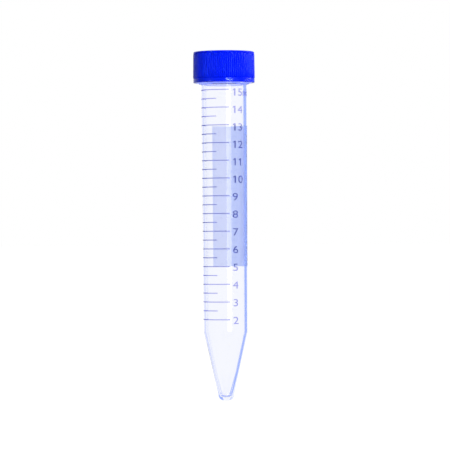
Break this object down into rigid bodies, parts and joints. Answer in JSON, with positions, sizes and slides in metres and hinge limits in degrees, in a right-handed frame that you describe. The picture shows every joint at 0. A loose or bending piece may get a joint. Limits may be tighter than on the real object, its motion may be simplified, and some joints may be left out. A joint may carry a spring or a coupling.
{
  "type": "centrifuge test tube",
  "caption": "Clear plastic test tube with a conical bottom, a printed volume scale and a ribbed screw cap, for holding and spinning liquid samples.",
  "frame": {"origin": "outside of the conical tip, on the tube's axis: the lowest point of the object", "axes": "+Z along the tube's axis towards the cap; -Y faces the start of the numerals of the printed scale, and +X is to the right when the scale is read"},
  "size_m": [0.0214, 0.0214, 0.121],
  "materials": {
    "clear_plastic": "clear, glossy moulded plastic with a faint blue tint at its edges",
    "cap_plastic": "deep blue moulded plastic, satin gloss",
    "liner_foam": "soft white closed-cell foam disc",
    "scale_ink": "thin navy blue printed ink",
    "writing_patch": "matte pale blue-white printed writing patch"
  },
  "bodies": {
    "tube": {"tube_body": "clear_plastic"},
    "liner": {"cap_liner": "liner_foam"},
    "cap": {"screw_cap": "cap_plastic"}
  },
  "joints": [
    {"name": "cap_lift", "type": "slide", "parent": "tube", "child": "liner", "axis": [0, 0, 1], "range_m": [0, 0.0144]},
    {"name": "cap_turn", "type": "hinge", "parent": "liner", "child": "cap", "pos_m": [0, 0, 0.1145], "axis": [0, 0, 1], "range_deg": [0, 1620]}
  ],
  "couplings": [
    {"joint": "cap_lift", "follows": "cap_turn", "m_per_rad": 0.00050929}
  ]
}
